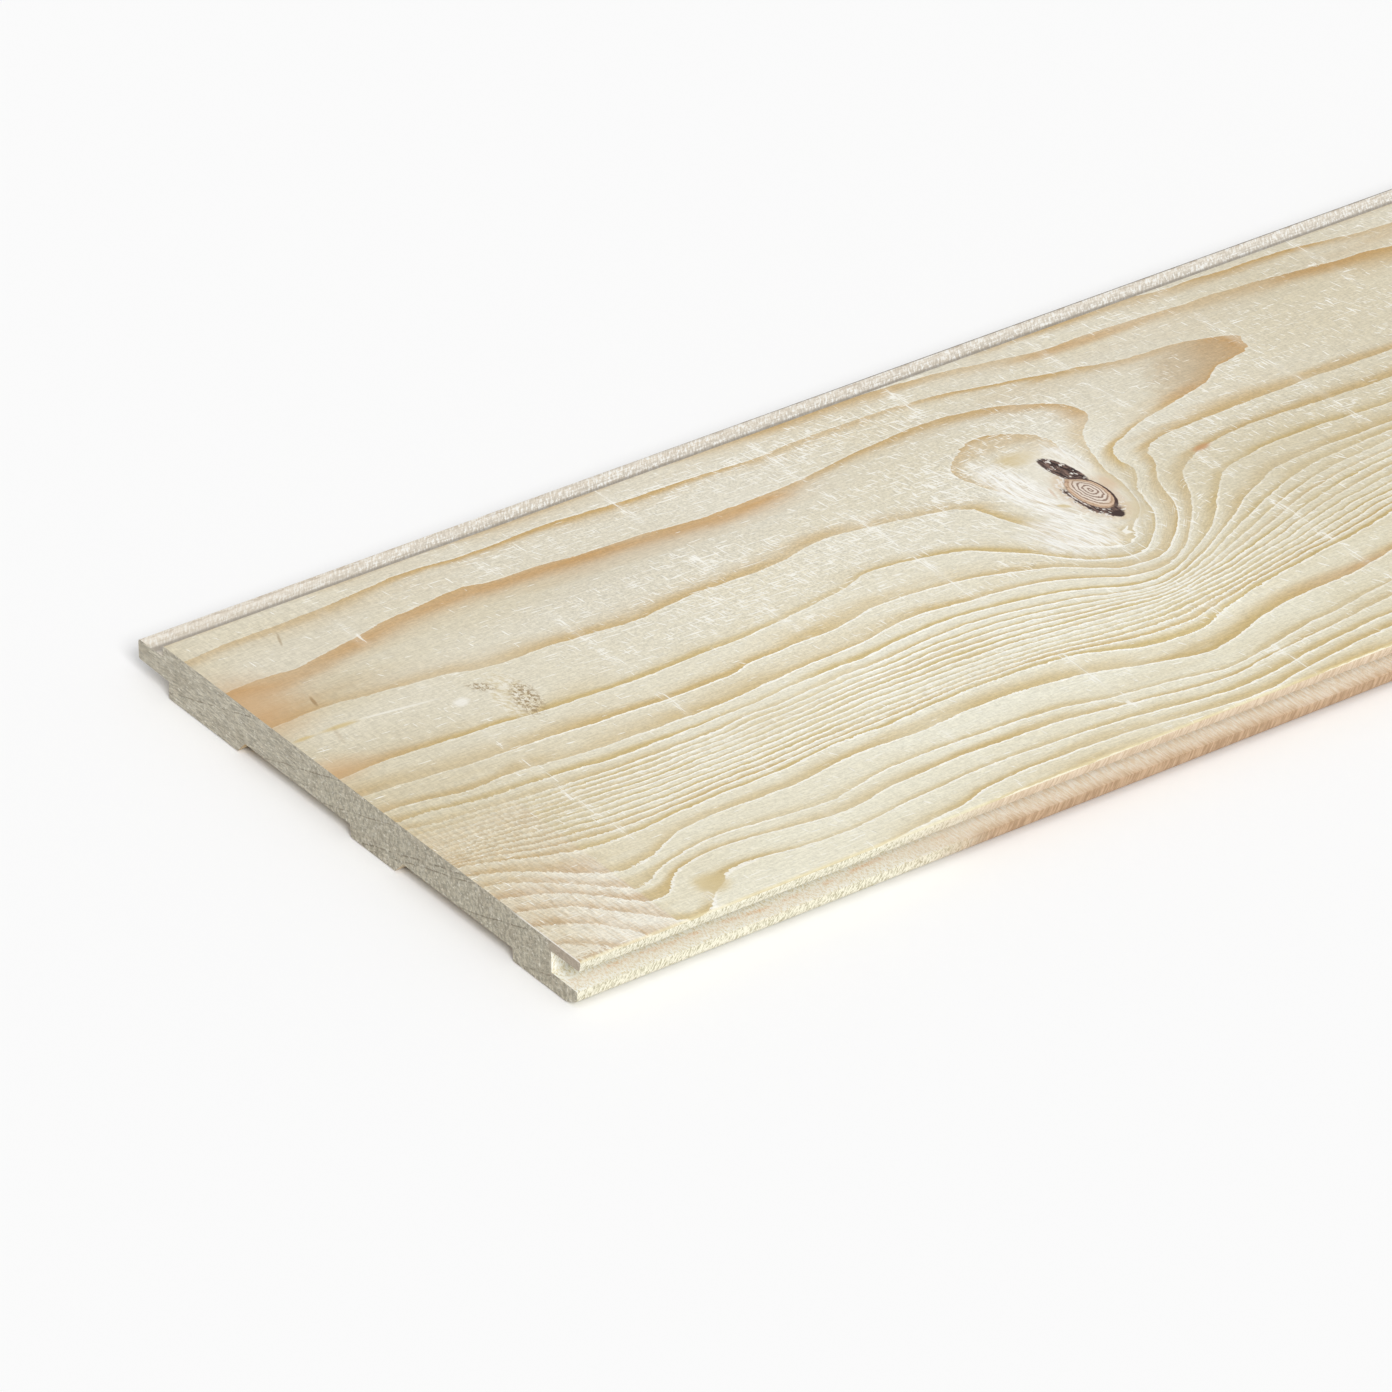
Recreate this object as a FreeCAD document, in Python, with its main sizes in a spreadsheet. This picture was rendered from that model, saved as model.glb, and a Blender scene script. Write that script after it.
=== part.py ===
import FreeCAD, Part
import os

import Sketcher

# A softwood tongue and groove panelling board, planed from one length of timber.
# X runs along the board, Y from the groove edge to the tongue, Z from the back to the face.
# The origin is the middle of the footprint of the board lying on its back.

NODE = "tongue_and_groove_board"

# Driving sizes in millimetres, with what each one is.
SIZES = [
    ("board_length", 900.0, "sawn length"),
    ("face_width", 127.0, "face from groove edge to tongue shoulder, the width one board covers"),
    ("thickness", 10.0, "back to face"),
    ("tongue_length", 8.0, "tongue beyond the face shoulder"),
    ("tongue_root_thickness", 4.3, "tongue at its shoulder"),
    ("tongue_tip_thickness", 4.0, "tongue at its tip"),
    ("joint_height", 5.6, "middle of tongue and groove above the back"),
    ("cheek_clearance", 0.1, "play above and below a tongue in the groove"),
    ("tip_clearance", 0.4, "play between a tongue's tip and the groove's root"),
    ("back_shoulder_setback", 1.6, "shoulder under the tongue behind the one on the face"),
    ("face_lip_land", 1.0, "upright part of the groove edge, below the face"),
    ("back_lip_setback", 1.0, "lip under the groove behind the one on the face"),
    ("back_easing_width", 4.2, "eased back edge, measured in from the groove edge"),
    ("back_easing_rise", 1.3, "eased back edge, measured up from the back"),
    ("back_easing_radius", 1.0, "rounding of the eased back edge"),
    ("relief_count", 2, "relief channels in the back"),
    ("relief_start", 19.6, "groove edge to the first channel"),
    ("relief_pitch", 48.7, "one channel to the next"),
    ("relief_width", 35.2, "channel at the back surface"),
    ("relief_depth", 2.5, "channel above the back surface"),
    ("groove_side_lean", 0.3, "lean of a channel's wall on the groove side"),
    ("tongue_side_lean", 2.3, "lean of a channel's wall on the tongue side"),
    ("face_arris_radius", 0.4, "rounding of the two long edges of the face"),
    ("tongue_tip_radius", 0.5, "rounding of the tongue's two long edges"),
]

# Each corner of a section is its distance across from the groove edge and its height.
BLANK_SECTION = {
    "back_at_groove": ("size.back_easing_width", "0"),
    "back_at_shoulder": ("size.face_width - size.back_shoulder_setback", "0"),
    "under_tongue_root": (
        "size.face_width - size.back_shoulder_setback",
        "size.joint_height - size.tongue_root_thickness / 2",
    ),
    "under_tongue_tip": (
        "size.face_width + size.tongue_length",
        "size.joint_height - size.tongue_tip_thickness / 2",
    ),
    "over_tongue_tip": (
        "size.face_width + size.tongue_length",
        "size.joint_height + size.tongue_tip_thickness / 2",
    ),
    "over_tongue_root": (
        "size.face_width",
        "size.joint_height + size.tongue_root_thickness / 2",
    ),
    "face_at_shoulder": ("size.face_width", "size.thickness"),
    "face_at_groove": ("0", "size.thickness"),
    "land_bottom": ("0", "size.thickness - size.face_lip_land"),
    "back_lip_top": ("size.back_lip_setback", "size.joint_height"),
    "easing_top": ("size.back_lip_setback", "size.back_easing_rise"),
}

# The groove is the next board's tongue with its play, as deep as that tongue is long.
GROOVE_SECTION = {
    "mouth_bottom": (
        "0",
        "size.joint_height - size.tongue_root_thickness / 2 - size.cheek_clearance",
    ),
    "root_bottom": (
        "size.tongue_length + size.tip_clearance",
        "size.joint_height - size.tongue_tip_thickness / 2 - size.cheek_clearance",
    ),
    "root_top": (
        "size.tongue_length + size.tip_clearance",
        "size.joint_height + size.tongue_tip_thickness / 2 + size.cheek_clearance",
    ),
    "mouth_top": (
        "0",
        "size.joint_height + size.tongue_root_thickness / 2 + size.cheek_clearance",
    ),
}

RELIEF_SECTION = {
    "mouth_start": ("size.relief_start", "0"),
    "mouth_end": ("size.relief_start + size.relief_width", "0"),
    "ceiling_end": (
        "size.relief_start + size.relief_width - size.tongue_side_lean",
        "size.relief_depth",
    ),
    "ceiling_start": ("size.relief_start + size.groove_side_lean", "size.relief_depth"),
}

GROOVE_EDGE = "-(size.face_width + size.tongue_length) / 2"

NEAR = 1.0e-4


def make_sheet(doc):
    """Write each size's name, value and meaning on one row of the sheet."""
    sheet = doc.addObject("Spreadsheet::Sheet", "size")
    for row, (alias, value, meaning) in enumerate(SIZES, start=1):
        sheet.set(f"A{row}", alias)
        sheet.set(f"B{row}", str(value))
        sheet.setAlias(f"B{row}", alias)
        sheet.set(f"C{row}", meaning)
    doc.recompute()


def origin_feature(body, role):
    return next(feature for feature in body.Origin.OriginFeatures if feature.Role == role)


def number(owner, formula):
    """Work a formula of the sheet's sizes out to a plain number."""
    return float(owner.evalExpression(formula))


def section_sketch(body, name, section):
    """Draw a section across the board, closed, straight-sided and held at every corner."""
    sketch = body.newObject("Sketcher::SketchObject", name)
    sketch.AttachmentSupport = [(origin_feature(body, "YZ_Plane"), "")]
    sketch.MapMode = "FlatFace"
    sketch.setExpression(".AttachmentOffset.Base.x", GROOVE_EDGE)
    spots = [
        FreeCAD.Vector(number(sketch, across), number(sketch, up), 0)
        for across, up in section.values()
    ]
    for side, start in enumerate(spots):
        sketch.addGeometry(Part.LineSegment(start, spots[(side + 1) % len(spots)]))
    for side, (corner, (across, up)) in enumerate(section.items()):
        following = (side + 1) % len(spots)
        sketch.addConstraint(Sketcher.Constraint("Coincident", side, 2, following, 1))
        hold(sketch, "DistanceX", side, f"{corner}_across", across)
        hold(sketch, "DistanceY", side, f"{corner}_up", up)
    return sketch


def hold(sketch, kind, side, name, formula):
    """Tie one coordinate of the start of a side to its formula."""
    index = sketch.addConstraint(Sketcher.Constraint(kind, side, 1, number(sketch, formula)))
    sketch.renameConstraint(index, name)
    sketch.setExpression(f"Constraints.{name}", formula)


def run_full_length(body, kind, name, section):
    """Pad or pocket a section along the whole board, both ways from its middle."""
    sketch = section_sketch(body, f"{name}_section", section)
    body.Document.recompute()
    feature = body.newObject(kind, name)
    feature.Profile = sketch
    feature.Midplane = True
    feature.setExpression("Length", "size.board_length")
    body.Document.recompute()
    return feature


def repeat_relief(body, relief):
    """Step the relief channel towards the tongue."""
    pattern = body.newObject("PartDesign::LinearPattern", "reliefs")
    pattern.Originals = [relief]
    pattern.Direction = (origin_feature(body, "Y_Axis"), [""])
    pattern.setExpression("Length", "size.relief_pitch * (size.relief_count - 1)")
    pattern.setExpression("Occurrences", "size.relief_count")
    body.Tip = pattern
    body.Document.recompute()
    return pattern


def long_edge(body, corner):
    """Name the edge that runs along the board through a corner of the blank's section."""
    across, up = BLANK_SECTION[corner]
    wanted = FreeCAD.Vector(0, number(body, f"{GROOVE_EDGE} + {across}"), number(body, up))
    for index, edge in enumerate(body.Tip.Shape.Edges, start=1):
        middle = edge.BoundBox.Center
        if edge.BoundBox.XLength > NEAR and (middle - wanted).Length < NEAR:
            return f"Edge{index}"
    raise RuntimeError(f"no long edge at {corner}")


def round_edges(body, name, radius, corners):
    edges = [long_edge(body, corner) for corner in corners]
    carrier = body.Tip
    rounding = body.newObject("PartDesign::Fillet", name)
    rounding.Base = (carrier, edges)
    rounding.setExpression("Radius", radius)
    body.Document.recompute()
    return rounding


def make_board(doc):
    body = doc.addObject("PartDesign::Body", NODE)
    body.Label = NODE
    blank = run_full_length(body, "PartDesign::Pad", "blank", BLANK_SECTION)
    groove = run_full_length(body, "PartDesign::Pocket", "groove", GROOVE_SECTION)
    relief = run_full_length(body, "PartDesign::Pocket", "relief", RELIEF_SECTION)
    repeat_relief(body, relief)
    round_edges(body, "face_arrises", "size.face_arris_radius", ["face_at_groove", "face_at_shoulder"])
    round_edges(body, "tongue_tip", "size.tongue_tip_radius", ["under_tongue_tip", "over_tongue_tip"])
    round_edges(body, "back_easing", "size.back_easing_radius", ["back_at_groove", "easing_top"])
    body.Placement = FreeCAD.Placement()
    doc.recompute()
    if not blank.Shape.Volume > groove.Shape.Volume > relief.Shape.Volume > body.Shape.Volume:
        raise RuntimeError("a cut took nothing away")
    return body


def check(doc, pieces):
    """Stop unless every object recomputed and every piece is one valid solid."""
    for item in doc.Objects:
        if "Invalid" in item.State or "Error" in item.State:
            raise RuntimeError(f"{item.Name} failed: {item.State}")
    for piece in pieces:
        if piece.Shape.isNull() or not piece.Shape.isValid() or len(piece.Shape.Solids) != 1:
            raise RuntimeError(f"{piece.Label} is not one valid solid")


def main():
    doc = FreeCAD.newDocument("board")
    make_sheet(doc)
    pieces = [make_board(doc)]
    check(doc, pieces)
    os.makedirs("parts", exist_ok=True)
    for piece in pieces:
        piece.Shape.exportStep(f"parts/{piece.Label}.step")
        box = piece.Shape.BoundBox
        print(piece.Label, round(box.XLength, 3), round(box.YLength, 3), round(box.ZLength, 3))
        print("low corner", round(box.XMin, 3), round(box.YMin, 3), round(box.ZMin, 3))
        print("volume in cubic metres", round(piece.Shape.Volume * 1.0e-9, 7))


main()
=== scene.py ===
"""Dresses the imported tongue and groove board: one length of knotty softwood, planed and unfinished."""

import math

import bmesh
import bpy
import numpy as np
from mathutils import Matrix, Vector

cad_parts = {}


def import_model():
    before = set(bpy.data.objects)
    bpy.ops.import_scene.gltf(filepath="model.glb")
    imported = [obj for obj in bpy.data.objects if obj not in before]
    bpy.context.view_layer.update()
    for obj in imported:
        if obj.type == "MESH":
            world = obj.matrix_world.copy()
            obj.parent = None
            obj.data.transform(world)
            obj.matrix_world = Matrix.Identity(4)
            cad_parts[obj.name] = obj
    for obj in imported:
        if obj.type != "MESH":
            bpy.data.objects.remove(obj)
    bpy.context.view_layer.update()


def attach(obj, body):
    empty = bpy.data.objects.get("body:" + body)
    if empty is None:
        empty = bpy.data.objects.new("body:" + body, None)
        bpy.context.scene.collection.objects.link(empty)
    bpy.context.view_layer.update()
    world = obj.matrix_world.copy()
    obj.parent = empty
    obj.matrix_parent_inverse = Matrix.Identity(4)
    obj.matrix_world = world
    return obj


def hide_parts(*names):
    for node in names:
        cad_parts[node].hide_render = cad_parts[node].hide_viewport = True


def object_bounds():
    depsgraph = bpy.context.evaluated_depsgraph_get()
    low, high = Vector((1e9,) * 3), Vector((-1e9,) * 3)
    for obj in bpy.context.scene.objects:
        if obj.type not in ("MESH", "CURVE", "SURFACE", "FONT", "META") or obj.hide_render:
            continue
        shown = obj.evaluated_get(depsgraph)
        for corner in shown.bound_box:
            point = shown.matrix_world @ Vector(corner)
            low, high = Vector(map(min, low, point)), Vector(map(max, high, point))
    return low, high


MM = 0.001
NODE = "tongue_and_groove_board"
HAIR = 1e-6

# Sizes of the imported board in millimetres. U runs from the shown end, V from the groove edge, Z up.
LENGTH = 900.0
FACE_WIDTH = 127.0
THICKNESS = 10.0
TONGUE_TIP = 135.0
TONGUE_TOP = (7.75, 7.6)
TONGUE_UNDER = (3.45, 3.6)
BACK_SHOULDER = 125.4
GROOVE_ROOT = 8.4
GROOVE_LOW = (3.35, 3.5)
GROOVE_HIGH = (7.85, 7.7)
LAND_BOTTOM = 9.0
BACK_LIP = (1.0, 5.6)
EASING_TOP = 1.3
EASING_END = 4.2
CHANNELS = ((19.6, 19.9, 52.5, 54.8), (68.3, 68.6, 101.2, 103.5))
CHANNEL_DEPTH = 2.5
ARRIS_RADIUS = 0.4
TIP_RADIUS = 0.5
EASING_RADIUS = 1.0

# Stations along the board: fine where the photograph shows it, coarser beyond.
FINE_END = 215.0
MIDDLE_END = 315.0
FINE_STEP = 1.0
MIDDLE_STEP = 1.6
COARSE_STEP = 6.5
KNOT_SPAN = (160.0, 172.0)
SHARP_ANGLE = 35.0

# The ring field: rings per millimetre of depth below the face, and the grid that it is solved on.
RINGS_PER_DEPTH = 0.6
GRID_LOW = -4.0
GRID_HIGH = 139.0
GRID_STEP = 1.0
ALONG_STIFFNESS = 5.0
LINE_HOLD = 18.0
SOLVER_ROUNDS = 1500
SOLVER_REST = 1e-7
RATE_LIMITS = (0.03, 2.0)

# Crisp outer edges of the growth rings on the face, read as (U, V) turning points.
# Ring numbers grow outward from the heart of the cathedral figure, at about V = 98.
RING_EDGES = (
    (-0.6, ((168.6, 84), (166.4, 89.6), (163.4, 88.4), (161.8, 82.5), (160, 76.5), (159.8, 70))),
    (0.35, ((169.9, 80.5), (170.2, 74), (169.6, 68), (167, 62.8), (163.5, 61.8), (161, 63))),
    (0.35, ((0, 100), (30, 100.5), (60, 99.5), (90, 98.5), (120, 98), (140, 99))),
    (0, (
        (160.4, 64.6), (159, 67.5), (156.4, 73), (153.8, 80), (150.8, 87), (149.4, 92), (150.1, 94.9),
        (152.9, 97.9), (157.5, 100.9), (161.7, 101.2), (165.4, 100), (168.6, 98.1), (171.2, 95.5),
        (171.8, 91.7), (170.8, 87.3), (170.2, 84.5),
    )),
    (1, (
        (-2, 107), (10, 107.3), (14, 106.7), (27, 109.2), (40, 111.6), (55, 112.5), (58, 111.4), (70, 110.8),
        (80, 109.3), (92, 109), (104, 107.4), (122, 108), (137, 109.7), (152, 111.3), (162, 110.9),
        (168, 109.8), (173, 107.7), (178, 104.9), (181.6, 101.6), (183.1, 98), (182.2, 95.3), (179.2, 93),
        (176.6, 89.6), (175, 85.5), (173.9, 81.5), (172.8, 77), (172.6, 72.5), (171.5, 67.5), (169.5, 64),
        (166.5, 61), (164.6, 59.4), (163.2, 56.4), (160.2, 54.7), (157, 55.3), (154.5, 57), (151.5, 60),
        (149.8, 64), (149.5, 69), (147.6, 73), (146.4, 77.5), (145.6, 80.8), (141, 83.5), (134, 85.2),
        (128, 86.7), (122, 87.6), (117, 88.7), (110, 87.7), (105, 86.3), (94, 86.4), (86, 86.4), (80, 86),
        (74, 85.2), (67, 85.7), (60, 86.3), (53, 87.2), (46, 87), (40, 87.8), (35, 89.4), (27, 90.9),
        (18, 91.9), (10, 92.9), (-2, 92.6),
    )),
    (2, (
        (-2, 120.3), (12, 121), (32, 121.6), (45, 123), (52, 122.8), (63, 121.7), (76, 122.2), (88, 121.6),
        (92, 120.9), (110, 120.4), (122, 119.4), (140, 120), (158, 119.3), (165, 118.6), (172, 116.8),
        (180, 114.5), (187, 112.5), (192, 111.7), (195, 110.3), (200, 109), (212, 108), (217, 106.6),
        (222, 105), (224.6, 102.6), (222.4, 98.6), (217, 97.3), (213, 96.7), (209, 93.5), (204, 92),
        (198, 90.4), (190, 88.8), (184.5, 86.5), (180.3, 85), (178, 82.5), (177.3, 79), (177.4, 75.6),
        (175.4, 71.8), (173, 69.6), (171.9, 66), (171, 62), (168.6, 58), (165, 54.4), (162, 51.8),
        (159, 51), (155.5, 51.8), (151, 54.4), (147.5, 58), (144, 62.5), (139, 66.8), (134, 70.4),
        (126, 73), (115, 74.5), (109, 72.2), (99, 70.4), (88, 69.2), (75, 69), (58, 68.6), (42, 69.7),
        (27, 71), (10, 72), (-2, 71.3),
    )),
    (3, (
        (-4, 130), (100, 129.6), (140, 127.8), (158, 126.4), (165, 125.4), (172, 124.5), (180, 122.8),
        (187, 121.2), (193, 120.4), (210, 119.8), (225, 118.8), (238, 118), (246, 116.9), (260, 115.2),
        (268, 114.1), (300, 109.5), (330, 105.5), (352, 101.5), (360, 97.5), (350, 93.5), (325, 90),
        (290, 86), (265, 83.4), (243, 82.3), (225, 83), (205, 82.9), (192, 82.6), (186, 81.2),
        (183, 79.2), (181.6, 75.4), (179, 71.4), (176.8, 66), (175, 60.5), (171, 55), (167.5, 51.5),
        (163.5, 48.6), (159, 48), (154, 48.9), (150, 51.6), (145, 55.4), (140, 57.7), (134, 60.2),
        (128, 62.2), (120, 63.3), (110, 64.1), (105, 63), (100, 61.8), (88, 61.6), (80, 61.4),
        (77, 60.3), (65, 60), (52, 60.6), (40, 61.6), (25, 62.3), (10, 63.7), (-2, 64.8),
    )),
    (4, (
        (-2, 58.3), (5, 57.6), (11, 56.4), (17, 55.4), (24, 55.9), (36, 54.6), (50, 53.3), (65, 53.2),
        (78, 54), (92, 55), (100, 55.4), (110, 57), (120, 56.6), (130, 55), (137, 53.9), (142, 51.9),
        (148, 48.9), (152, 46.2), (156, 45), (160, 45), (165, 46.6), (170, 50.5), (175, 55.7),
        (179, 61), (181.5, 66), (184, 69.8), (188, 72.7), (193, 74.8), (205, 75.9), (222, 75.1),
        (237, 74.6), (262, 75.4), (300, 77.5), (350, 81), (400, 85.5), (450, 90), (492, 95), (505, 99.5),
        (490, 103.5), (440, 108), (380, 112), (320, 116.6), (290, 119), (274, 120.7), (262, 122.4),
        (250, 124.2), (237, 125), (225, 125.7), (205, 127.2), (150, 131), (-4, 134),
    )),
    (5, (
        (-2, 54.4), (6, 53.8), (12, 52.4), (20, 51.5), (33, 50.6), (45, 49.5), (60, 49.5), (72, 49.9),
        (82, 50.9), (95, 51.1), (107, 52.3), (119, 52.9), (130, 50.9), (138, 49), (145, 46.2), (150, 43.6),
        (155, 42.4), (160, 43), (166, 45.4), (173, 49.1), (179, 54), (184, 59.7), (188, 64), (192, 66.4),
        (200, 67.8), (214, 68.3), (230, 67.2), (260, 67.6), (300, 69.5), (380, 73.5), (460, 78),
        (540, 83), (620, 88), (690, 92), (748, 96.5), (765, 101.5), (740, 106), (680, 110), (600, 113),
        (520, 117), (450, 120), (380, 124), (300, 129), (200, 133), (-4, 138),
    )),
    (6, (
        (-2, 51.6), (10, 49.5), (20, 48.2), (30, 47.5), (42, 46.6), (60, 46.2), (70, 47.2), (82, 47.8),
        (100, 48.4), (115, 49.6), (124, 48.9), (133, 47), (142, 44.6), (148, 42), (155, 40.3), (160, 41),
        (168, 44.4), (175, 48), (182, 52), (187, 55.8), (193, 58.5), (198, 60.6), (207, 61.6), (225, 61.6),
        (260, 62), (320, 64), (400, 67), (480, 71), (560, 75.5), (640, 80), (720, 84.5), (800, 89),
        (860, 94), (904, 98),
    )),
    (5.5, ((815, 101.5), (860, 102), (904, 103))),
    (6, ((480, 139), (600, 130), (700, 123), (800, 116), (904, 108))),
    (7, ((660, 139), (740, 130.5), (820, 124), (904, 117))),
    (8, ((800, 139), (850, 132), (904, 127))),
    (17, (
        (-2, 37.5), (6, 34.5), (14, 31), (20, 28.8), (32, 27.8), (42, 28.8), (60, 29.4), (75, 30.6),
        (82, 31), (87, 30.3), (96, 31.4), (113, 31.7), (121, 31.1), (128, 30), (134, 27.4), (140, 25),
        (146, 24), (152, 24.1), (158, 26.4), (164, 28.3), (170, 30), (182, 31.8), (195, 34), (205, 36),
        (225, 38.6), (260, 40), (320, 39), (420, 36.5), (520, 38.5), (600, 41), (700, 40), (800, 36),
        (904, 34),
    )),
    (18, (
        (-2, 34), (5, 31), (10, 27.5), (15, 23.5), (20, 19.4), (25, 19), (31, 20.6), (38, 23.5),
        (47, 24.4), (62, 24.2), (76, 25.9), (92, 25.6), (105, 26.3), (117, 25.5), (128, 23), (138, 19.6),
        (147, 17), (153, 17.4), (162, 20.5), (171, 22.6), (183, 23), (192, 24.2), (205, 27.5), (225, 30.4),
        (260, 32), (320, 31), (420, 28), (520, 30.5), (600, 33.5), (700, 32), (800, 28), (904, 26),
    )),
    (19, (
        (-2, 29.5), (6, 26.3), (12, 21.5), (17, 16.4), (20.5, 13), (24.5, 13.5), (29, 16.6), (40, 18.5),
        (50, 17.9), (64, 16.2), (73, 18), (80, 19), (100, 18.6), (114, 17.3), (124, 14.8), (136, 12.8),
        (146, 10.8), (153, 11.2), (164, 13.4), (180, 15.5), (205, 19), (225, 21.4), (260, 23),
        (320, 22.5), (420, 19), (520, 22), (600, 25.5), (700, 23), (800, 19.5), (904, 18),
    )),
    (20, (
        (-2, 24.8), (6, 21.5), (11, 18.5), (16, 13.6), (20.5, 8.6), (24.5, 9), (28.5, 13), (33, 14.8),
        (42, 15.3), (56, 13.2), (64, 12.2), (76, 14), (90, 14.8), (109, 14.1), (122, 12.3), (136, 9.3),
        (147, 8.1), (155, 9.6), (172, 11.4), (190, 13.6), (225, 16.2), (260, 17), (320, 16), (420, 12.5),
        (520, 16), (600, 19), (700, 16.5), (800, 13), (904, 12),
    )),
    (21, (
        (-2, 19.6), (8, 15.4), (13, 10.8), (17, 6), (20.5, 1.4), (24, -0.5), (27.6, 0.8), (31, 4.4),
        (34.4, 6.6), (36, 8.7), (43, 8.9), (52, 7.1), (62, 6.8), (75, 8.1), (92, 9.6), (107, 9),
        (123, 7.6), (136, 5.3), (150, 4.5), (163, 6.5), (178, 8.1), (205, 10.5), (260, 11.5), (320, 9.5),
        (420, 6), (520, 9.5), (600, 12), (700, 9.5), (800, 6.5), (904, 6),
    )),
    (22, (
        (-2, 14.2), (5, 11), (10, 6.4), (14, 1), (17, -3), (40, -4), (60, -2.4), (70, 0.6), (82, 1.9),
        (90, 4.2), (104, 4.9), (120, 3.8), (136, 1.6), (147, 0.9), (158, 2.5), (173, 4.6), (205, 6),
        (260, 6), (320, 3.5), (420, 0), (520, 2.5), (600, 4.5), (700, 2.5), (800, 1), (904, 0.5),
    )),
    (23, ((-2, 8), (4, 4.5), (8, 0), (11, -4))),
    (23.6, ((60, -4), (140, -3.5), (205, -2), (260, -2), (320, -3.5))),
    (23.3, ((380, -3.5), (640, -3.5), (904, -3.5))),
)

# Soft spots on the face, all as (U, V, reach along, reach across, share).
# Places where the latewood bands are wide and orange.
WARM_SPOTS = (
    (0, 100, 6, 9, 1.0), (8, 102, 18, 5, 0.95), (28, 107, 14, 3.5, 0.7), (50, 110, 20, 3.2, 0.9),
    (76, 107, 16, 4.4, 1.0), (102, 104.5, 20, 4.2, 1.0), (118, 104.5, 8, 3.2, 0.7), (3, 74, 14, 3.6, 0.8),
    (206, 101, 13, 8, 0.7), (219, 102, 6, 6, 1.0), (204, 93, 10, 3, 0.7), (190, 24.5, 16, 2.2, 0.9),
    (176, 107, 9, 3.5, 0.5), (180, 98, 4, 5, 0.6), (255, 115.5, 30, 3, 0.6), (200, 119, 18, 2, 0.8),
    (0, 60, 3, 30, 0.3), (340, 98, 24, 8, 0.5), (480, 98, 34, 8, 0.5), (735, 100, 40, 8, 0.5),
    (22, 99, 8, 4, 0.3), (88, 100, 13, 3, 0.25),
)

# Places where the wood is darker, or lighter where the share is below 0.
TONE_SPOTS = (
    (-2, 60, 6, 90, 0.7), (-2, 8, 6, 12, 0.8), (8, 54, 20, 24, 0.6), (4, 97, 22, 8, 0.8),
    (62, 104, 40, 6, 0.5), (108, 46, 42, 32, -0.42), (112, 86, 36, 9, -0.35), (112, 118, 26, 8, -0.3),
    (160, 82, 16, 12, -0.25), (210, 52, 28, 24, 0.6), (245, 96, 30, 40, 0.55), (185, 16, 24, 10, 0.45),
    (400, 68, 90, 90, 0.35), (560, 60, 60, 30, -0.2), (720, 80, 80, 40, 0.3), (16, 97, 14, 6, 0.35),
    (14, 77, 16, 6, 0.45), (16, 37, 16, 6, 0.5), (0, 14, 6, 18, 0.5), (212, 72, 40, 11, 0.35),
    (245, 118, 25, 8, 0.35), (150, 27, 25, 5, -0.45), (160, 108, 60, 14, 0.25), (100, 80, 60, 20, 0.25),
    (12, 52, 24, 22, 0.35), (190, 46, 18, 26, 0.4), (0, 6, 6, 10, 0.4), (12, 118, 40, 8, 0.35),
    (176, 90, 7, 13, -0.45), (102, 67, 30, 6, -0.3), (113, 107, 13, 5, -0.5), (200, 87, 26, 5, -0.3),
    (226, 52, 12, 5, -0.4), (0, 77, 5, 5, 0.4), (10, 17, 7, 6, 0.35), (137, 87, 12, 5, 0.25),
    (112, 37, 12, 5, 0.3), (162, 27, 12, 5, -0.2), (87, 66, 12, 5, -0.2), (87, 50, 12, 9, -0.22),
    (40, 12, 11, 9, 0.25), (140, 16, 28, 5, 0.2), (88, 9, 14, 6, 0.2), (212, 118, 12, 6, -0.25),
)

# Places where the ring lines are soft and faint.
FAINT_SPOTS = (
    (245, 78, 52, 30, 0.6), (200, 122, 60, 8, 0.4), (10, 16, 17, 36, 0.85), (20, 84, 24, 6, 0.3),
    (185, 78, 14, 12, 0.35), (150, 30, 20, 6, 0.25), (0, 50, 6, 30, 0.4), (100, 34, 30, 4, 0.2),
    (10, 114, 26, 20, 0.6), (20, 121.5, 40, 4, 0.6), (12, 78, 14, 12, 0.4), (14, 52, 22, 14, 0.5),
    (112, 27, 16, 5, 0.35), (162, 27, 16, 5, 0.35),
)

# Places where the planing raised short pale fibres, or hardly any where the share is below 0.
FUZZ_SPOTS = (
    (6, 14, 14, 28, 0.2), (96, 116, 44, 7, 0.8), (84, 96, 36, 6, 1.0), (110, 86, 44, 6, 0.9),
    (96, 77, 44, 6, 1.0), (152, 92, 14, 9, 0.9), (150, 62, 18, 7, 0.7), (92, 61, 30, 7, 0.6),
    (142, 118, 30, 7, 0.8), (140, 101, 24, 7, 0.4), (210, 78, 30, 7, 0.4), (176, 58, 20, 8, 0.3),
    (176, 104, 14, 8, 0.5), (205, 88, 20, 10, 0.1), (232, 100, 24, 8, 0.25), (60, 38, 24, 8, 0.2),
    (128, 40, 30, 8, 0.2), (10, 108, 26, 22, -0.7), (10, 66, 20, 16, -0.4), (40, 92, 20, 6, -0.3),
    (92, 104, 30, 4, -0.6),
)

# Sound knots beyond the shown part, as (U, V, half length, half width, how far rings move aside), and
# how far along and across they move the rings.
FAR_KNOTS = ((402.0, 47.0, 5.2, 4.4, 7.0), (640.0, 104.0, 4.0, 3.4, 5.0), (806.0, 63.0, 6.0, 4.6, 8.0))
FAR_KNOT_REACH = (20.0, 13.0)

# Undisturbed places of some rings across the face, as (ring, V), and where the knot bends the grain
# away from them: its middle, and its reach along and across.
LEVEL_PLACES = (
    (0, 95), (1, 86.3), (2, 68.7), (3, 60.2), (4, 53.2), (5, 49.6), (6, 46.3), (17, 29.4), (18, 24.2),
    (19, 17.4), (20, 13.4), (21, 7.4), (22, 1), (24, -6),
)
BEND_MIDDLE = (165.0, 50.0)
BEND_REACH = (38.0, 30.0)


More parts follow.
